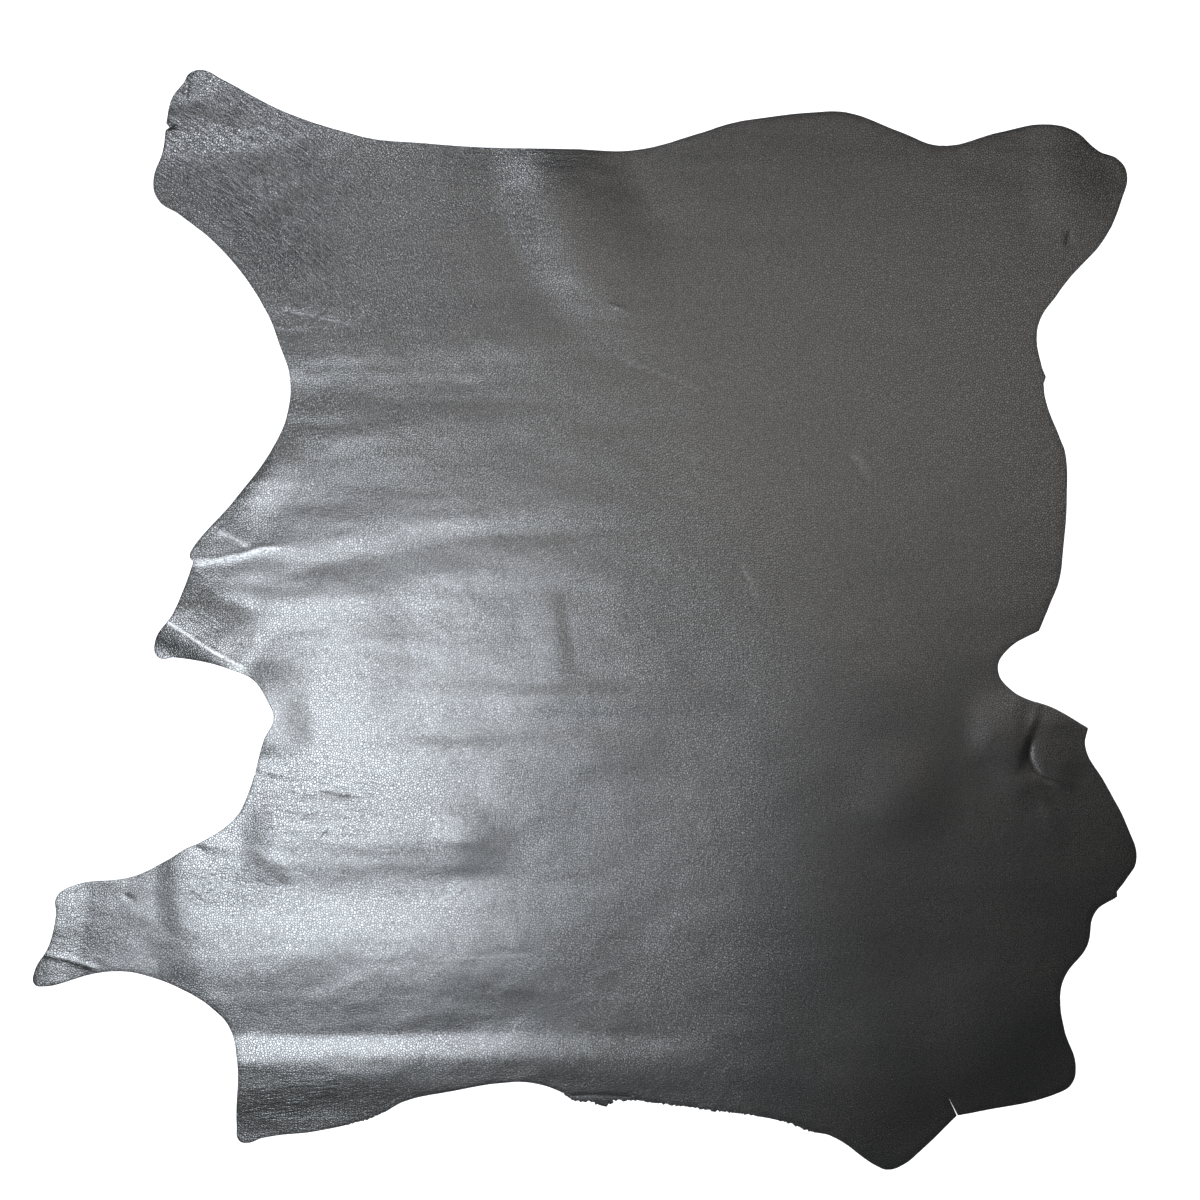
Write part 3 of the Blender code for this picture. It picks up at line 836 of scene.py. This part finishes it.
@dataclass
class Skin:
    """The skin: one sheet of leather on its folds, with a cut edge all round it."""

    thickness: float = 1.2 * MM
    rim_steps: int = 10
    rim_step: float = 3.5 * MM
    knife_sway: float = 0.25 * MM
    torn_stretches: tuple[tuple[float, float], ...] = ((-0.216, -0.180), (-0.022, 0.158), (0.172, 0.208))
    torn_below: float = -0.4
    torn_step: float = 0.9 * MM
    torn_depth: float = 1.7 * MM
    torn_fade: float = 8 * MM
    crease_step: float = 1.8 * MM
    crease_gap: float = 0.7 * MM
    edge_roll: float = 0.05 * MM
    edge_width: float = 0.7 * MM
    edge_slant: float = 0.45 * MM
    edge_middle: float = 0.45
    edge_middle_height: float = 0.55
    cockle: float = 0.45 * MM
    underside_scale: float = 2.0
    flat_area: float = 0.695

    def rim(self) -> np.ndarray:
        """Draws the rim as the knife went, with its box's middle where the solid's is.

        Returns:
            Points round the rim, clockwise from above, one a row.
        """
        curve = bpy.data.curves.new("hide_rim", "CURVE")
        curve.dimensions = "2D"
        curve.fill_mode = "NONE"
        spline = curve.splines.new("BEZIER")
        spline.bezier_points.add(len(RIM) - 1)
        for point, place in zip(spline.bezier_points, RIM):
            point.co = (place.x * MM, place.y * MM, 0)
            point.handle_left_type = place.turn.value
            point.handle_right_type = place.turn.value
        spline.use_cyclic_u = True
        spline.resolution_u = self.rim_steps
        guide = bpy.data.objects.new("hide_rim", curve)
        bpy.context.scene.collection.objects.link(guide)
        graph = bpy.context.evaluated_depsgraph_get()
        mesh = bpy.data.meshes.new_from_object(guide.evaluated_get(graph))
        points = np.array([vertex.co.xy for vertex in mesh.vertices])
        bpy.data.objects.remove(guide, do_unlink=True)
        bpy.data.meshes.remove(mesh)

        low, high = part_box("hide")
        points += (np.array((low + high).xy) - points.min(axis=0) - points.max(axis=0)) / 2
        points = self.filled(points)
        return points + np.array([self.sway(point) for point in points])

    def filled(self, rim: np.ndarray) -> np.ndarray:
        """Adds points to the straight stretches of the rim.

        Args:
            rim: Points round the rim.

        Returns:
            Points round the rim that lie at most a step apart.
        """
        points = []
        for start, end in zip(rim, np.roll(rim, -1, axis=0)):
            step = self.torn_step if max(self.torn(start), self.torn(end)) > 0 else self.rim_step
            count = max(1, math.ceil(np.linalg.norm(end - start) / step))
            points += [start + (end - start) * share / count for share in range(count)]
        return np.array(points)

    def torn(self, point: np.ndarray) -> float:
        """Says how ragged the rim is at a point, from 0 to 1, where the lower edge was torn."""
        inwards = max(min(point[0] - start, end - point[0]) for start, end in self.torn_stretches)
        return float(np.clip(inwards / self.torn_fade, 0, 1)) if point[1] < self.torn_below else 0.0

    def sway(self, point: np.ndarray) -> tuple[float, float]:
        """Finds how far the knife strayed at a point of the rim.

        Args:
            point: The point.

        Returns:
            How far, along X and Y.
        """
        strayed = noise.noise_vector(Vector((*point, 0)) / (11 * MM)) * 0.6
        strayed += noise.noise_vector(Vector((*point, 0.3)) / (4 * MM)) * 0.4
        teeth = noise.noise_vector(Vector((*point, 0.6)) / (1.4 * MM)) * self.torn(point) * self.torn_depth
        return tuple(strayed.xy * self.knife_sway + teeth.xy)

    @staticmethod
    def outwards(rim: np.ndarray) -> np.ndarray:
        """Finds the way out of the skin at each point of its rim.

        Args:
            rim: Points round the rim, clockwise from above.

        Returns:
            A unit vector for each point.
        """
        run = np.roll(rim, -1, axis=0) - np.roll(rim, 1, axis=0)
        out = np.stack([-run[:, 1], run[:, 0]], axis=1)
        return out / np.maximum(np.linalg.norm(out, axis=1), 1e-9)[:, None]

    @staticmethod
    def room(rim: np.ndarray) -> np.ndarray:
        """Finds how near each point of the rim lies to another stretch of it, as in a slit.

        Args:
            rim: Points round the rim.

        Returns:
            A distance for each point, at most 5 mm.
        """
        reach = 5 * MM
        run = np.linalg.norm(np.roll(rim, -1, axis=0) - rim, axis=1)
        along, whole = np.cumsum(run) - run, run.sum()
        tree = Skin.tree(rim)
        found = np.full(len(rim), reach)
        for index, point in enumerate(rim):
            for _, other, distance in tree.find_range((*point, 0), reach):
                way = abs(along[other] - along[index])
                if min(way, whole - way) > 3 * distance:
                    found[index] = min(found[index], distance)
        return found

    def spots(self, rim: np.ndarray, scale: float, creased: bool) -> np.ndarray:
        """Lays out the mesh's inner points.

        Args:
            rim: Points round the rim.
            scale: How much larger than the regions' own the cells are.
            creased: Whether rows of points follow the creases.

        Returns:
            The points, one a row.
        """
        taken = np.zeros((0, 2))
        if creased:
            inset = rim - self.outwards(rim) * self.edge_width
            rows = [crease.rails(self.crease_step) for crease in CREASES]
            taken = self.thinned(np.vstack([inset, *rows]), rim, 0.75 * self.edge_width, self.crease_gap)
        even = []
        for index, region in enumerate(REGIONS):
            cells = region.cells(scale)
            for earlier in REGIONS[:index]:
                cells = cells[~earlier.holds(cells)]
            even.append(self.cleared(cells, rim, 0.55 * region.cell * scale * MM, taken))
        return np.vstack([taken, *even])

    @staticmethod
    def tree(points: np.ndarray) -> KDTree:
        """Sorts points for quick searches of what lies near."""
        made = KDTree(len(points))
        for index, point in enumerate(points):
            made.insert((*point, 0), index)
        made.balance()
        return made

    def thinned(self, points: np.ndarray, rim: np.ndarray, from_rim: float, apart: float) -> np.ndarray:
        """Drops points that lie too near the rim or an earlier point.

        Args:
            points: The points.
            rim: Points round the rim.
            from_rim: The least distance to the rim.
            apart: The least distance between two points.

        Returns:
            The points that are left.
        """
        near_rim, near = self.tree(rim), self.tree(points)
        kept = np.ones(len(points), bool)
        for index, point in enumerate(points):
            place = (*point, 0)
            if near_rim.find(place)[2] < from_rim:
                kept[index] = False
                continue
            around = near.find_range(place, apart)
            kept[index] = not any(kept[other] and other < index for _, other, _ in around)
        return points[kept]

    def cleared(self, cells: np.ndarray, rim: np.ndarray, room: float, taken: np.ndarray) -> np.ndarray:
        """Drops cells that lie too near the rim or the rows of points on the creases.

        Args:
            cells: The cells' corners.
            rim: Points round the rim.
            room: The least distance to either.
            taken: The points on the creases.

        Returns:
            The corners that are left.
        """
        near = self.tree(np.vstack([rim, taken]))
        return np.array([cell for cell in cells if near.find((*cell, 0))[2] > room])

    @staticmethod
    def net(rim: np.ndarray, inner: np.ndarray) -> tuple[np.ndarray, np.ndarray]:
        """Joins the rim and the points inside it into a net of triangles that face up.

        Args:
            rim: Points round the rim.
            inner: Points, of which those outside the rim are dropped.

        Returns:
            The net's points, with the rim's first, and its triangles.
        """
        places = [Vector(point) for point in np.vstack([rim, inner])]
        loop = list(range(len(rim)))
        anticlockwise = loop[::-1]
        found = delaunay_2d_cdt(places, [], [anticlockwise], 0, 1e-7, True)
        points = np.array([point[:] for point in found[0]])
        triangles = np.array([face for face, within in zip(found[2], found[5]) if within])
        a, b, c = (points[triangles[:, corner]] for corner in range(3))
        turn = np.cross(b - a, c - a)
        triangles[turn < 0] = triangles[turn < 0][:, ::-1]
        used = np.union1d(np.unique(triangles), loop)
        number = np.zeros(len(points), int)
        number[used] = np.arange(len(used))
        return points[used], number[triangles]

    @staticmethod
    def slack(places: np.ndarray) -> np.ndarray:
        """Finds how high the folds raise each place."""
        return sum(fold.lift(places) for fold in FOLDS)

    def grain(self, places: np.ndarray) -> np.ndarray:
        """Finds how much the grain side's creases and unevenness add to each place.

        Args:
            places: Points on the flat skin.

        Returns:
            A height for each place.
        """
        uneven = [
            0.55 * noise.noise(Vector((x / 0.060, y / 0.028, 0.0)))
            + 0.22 * noise.noise(Vector((x / 0.110, y / 0.012, 5.0)))
            + 0.22 * noise.noise(Vector((x / 0.022, y / 0.013, 7.0)))
            + 0.08 * noise.noise(Vector((x / 0.009, y / 0.007, 3.0)))
            for x, y in places
        ]
        loose = np.interp(places[:, 0], (-0.1, 0.2), (1.0, 0.4))
        return sum(crease.lift(places) for crease in CREASES) + np.array(uneven) * loose * self.cockle

    def build(self) -> bpy.types.Object:
        """Makes the sheet.

        Returns:
            The sheet's object.
        """
        rim = self.rim()
        out = self.outwards(rim)
        slant = np.minimum(self.edge_slant, 0.25 * self.room(rim))[:, None]
        low_rim = rim + out * slant
        top, top_faces = self.net(rim, self.spots(rim, 1.0, creased=True))
        under, under_faces = self.net(low_rim, self.spots(low_rim, self.underside_scale, creased=False))
        count = len(rim)

        top_z = self.slack(top) + self.thickness + self.grain(top)
        top_z[:count] -= self.edge_roll
        middle = rim + out * slant * self.edge_middle
        middle_z = self.slack(rim) + self.thickness * self.edge_middle_height
        under_z = self.slack(under)
        corners = np.vstack([
            np.column_stack([top, top_z]),
            np.column_stack([middle, middle_z]),
            np.column_stack([under, under_z]),
        ])
        at = np.arange(count)
        beside = np.roll(at, -1)
        middle_at, under_at = len(top), len(top) + count
        upper_wall = np.stack([at, beside, middle_at + beside, middle_at + at], axis=1)
        lower_wall = np.stack([middle_at + at, middle_at + beside, under_at + beside, under_at + at], axis=1)
        faces = [*top_faces.tolist(), *upper_wall.tolist(), *lower_wall.tolist()]
        faces += (under_faces[:, ::-1] + under_at).tolist()
        sides = [Side.GRAIN.value] * len(top_faces) + [Side.CUT_EDGE.value] * (2 * count)
        sides += [Side.FLESH.value] * len(under_faces)

        mesh = bpy.data.meshes.new("hide_sheet")
        mesh.from_pydata(corners.tolist(), [], faces)
        mesh.polygons.foreach_set("material_index", sides)
        mesh.shade_smooth()
        mesh.set_sharp_from_angle(angle=math.radians(50))
        for finish in (GrainFinish(), CutEdgeFinish(), FleshFinish()):
            mesh.materials.append(finish.material())
        self.mark(mesh, corners[:, :2])
        sheet = bpy.data.objects.new("hide_sheet", mesh)
        bpy.context.scene.collection.objects.link(sheet)
        return sheet

    @staticmethod
    def mark(mesh: bpy.types.Mesh, places: np.ndarray) -> None:
        """Writes how strong each point's pale mark is: a scratch, and on some ridges a painted highlight.

        Args:
            mesh: The sheet's mesh.
            places: The flat place of each of its points.
        """
        strength = np.zeros(len(places))
        for scar_and_highlight in SCARS_AND_HIGHLIGHTS:
            line = Fold(scar_and_highlight.name, scar_and_highlight.strength / MM, scar_and_highlight.width, scar_and_highlight.width, 6, 6, scar_and_highlight.line)
            strength = np.maximum(strength, line.lift(places))
        marks = mesh.attributes.new("scar_and_highlight", "FLOAT", "POINT")
        marks.data.foreach_set("value", strength.astype(np.float32))

    def dress(self, sheet: bpy.types.Object) -> None:
        """Args:
            sheet: The sheet's object.
        """
        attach(sheet, "root")
        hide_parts("hide")


@dataclass(frozen=True)
class Softbox:
    """A soft rectangular lamp that hangs level over the skin and shines down."""

    name: str
    place: tuple[float, float, float]
    size: tuple[float, float]
    brightness: float
    colour: tuple[float, float, float]

    def build(self) -> bpy.types.Object:
        """Makes the lamp.

        Returns:
            The lamp's object.
        """
        watts_for_brightness = 4.0
        lamp = bpy.data.lights.new(self.name, "AREA")
        lamp.shape = "RECTANGLE"
        lamp.size, lamp.size_y = self.size
        lamp.energy = self.brightness * self.size[0] * self.size[1] * watts_for_brightness
        lamp.color = self.colour
        made = bpy.data.objects.new(self.name, lamp)
        made.location = self.place
        made.visible_camera = False
        bpy.context.scene.collection.objects.link(made)
        return made


LAMPS = (
    Softbox("window_light", (-0.575, -0.336, 3.0), (0.62, 0.75), 33.5, (0.85, 0.92, 1.0)),
    Softbox("upper_window_light", (-0.77, 1.2, 3.0), (0.3, 0.14), 130.0, (0.86, 0.91, 1.0)),
    Softbox("room_light", (0.395, 0.489, 3.0), (1.74, 1.045), 2.1, (1.0, 0.965, 0.92)),
    Softbox("wall_light", (0.18, -0.448, 3.0), (0.5, 0.93), 0.85, (1.0, 0.98, 0.95)),
)


@dataclass
class Studio:
    """The floor, the lamps and the camera."""

    floor_width: float = 60.0
    floor_gap: float = 0.3 * MM
    floor_colour: tuple[float, float, float, float] = (0.9, 0.9, 0.9, 1)
    floor_glow: float = 0.7
    camera_height: float = 2.4
    view_width: float = 1.08
    view_centre: tuple[float, float] = (0.0137, 0.0178)
    wall_glow: float = 0.42
    ceiling_glow: float = 0.05
    wall_foot: float = 0.15
    wall_top: float = 0.65

    def floor(self) -> bpy.types.Object:
        """Lays a white floor just under the skin.

        Returns:
            The floor's object.
        """
        bpy.ops.object.select_all(action="DESELECT")
        bpy.ops.mesh.primitive_plane_add(size=self.floor_width, location=(0, 0, -self.floor_gap))
        floor = bpy.context.object
        floor.name = "floor"
        recipe = Recipe("white_floor")
        colour = self.floor_colour
        floor.data.materials.append(
            recipe.finish(
                Base_Color=colour,
                Roughness=0.9,
                Specular_IOR_Level=0.1,
                Emission_Color=colour,
                Emission_Strength=self.floor_glow,
            )
        )
        floor.active_material.cycles.emission_sampling = "NONE"
        return floor

    def camera(self) -> bpy.types.Object:
        """Hangs the camera over the skin, looking straight down.

        Returns:
            The camera's object.
        """
        lens = bpy.data.cameras.new("camera")
        lens.lens = lens.sensor_width * self.camera_height / self.view_width
        made = bpy.data.objects.new("camera", lens)
        made.location = (*self.view_centre, self.camera_height)
        bpy.context.scene.collection.objects.link(made)
        bpy.context.scene.camera = made
        return made

    def room(self) -> bpy.types.World:
        """Lights the room: pale all round at the height of its walls, and dark overhead.

        Returns:
            The world that the scene stands in.
        """
        world = bpy.data.worlds.new("room")
        world.use_nodes = True
        nodes = world.node_tree.nodes
        links = world.node_tree.links
        direction = nodes.new("ShaderNodeTexCoord")
        split = nodes.new("ShaderNodeSeparateXYZ")
        fade = nodes.new("ShaderNodeMapRange")
        fade.interpolation_type = "SMOOTHSTEP"
        fade.inputs["From Min"].default_value = self.wall_foot
        fade.inputs["From Max"].default_value = self.wall_top
        fade.inputs["To Min"].default_value = self.wall_glow
        fade.inputs["To Max"].default_value = self.ceiling_glow
        links.new(direction.outputs["Generated"], split.inputs["Vector"])
        links.new(split.outputs["Z"], fade.inputs["Value"])
        links.new(fade.outputs["Result"], nodes["Background"].inputs["Color"])
        return world

    def build(self) -> None:
        """Sets up the floor, the lamps, the camera and the colours of the picture."""
        self.floor()
        for lamp in LAMPS:
            lamp.build()
        self.camera()
        bpy.context.scene.world = self.room()
        bpy.context.scene.view_settings.view_transform = "Standard"


def corners(box: tuple[Vector, Vector]) -> list[list[float]]:
    """Turns a box's two corners into plain lists."""
    return [list(corner) for corner in box]


def main() -> None:
    """Builds the skin on its frame, dresses it and lights it."""
    logging.basicConfig(level=logging.INFO, format="%(name)s: %(message)s")
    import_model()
    noise.seed_set(NOISE_SEED)
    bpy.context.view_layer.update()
    Studio().build()
    skin = Skin()
    sheet = skin.build()
    skin.dress(sheet)
    log.info("sheet: %d triangles", sum(len(face.vertices) - 2 for face in sheet.data.polygons))


if __name__ == "__main__":
    main()
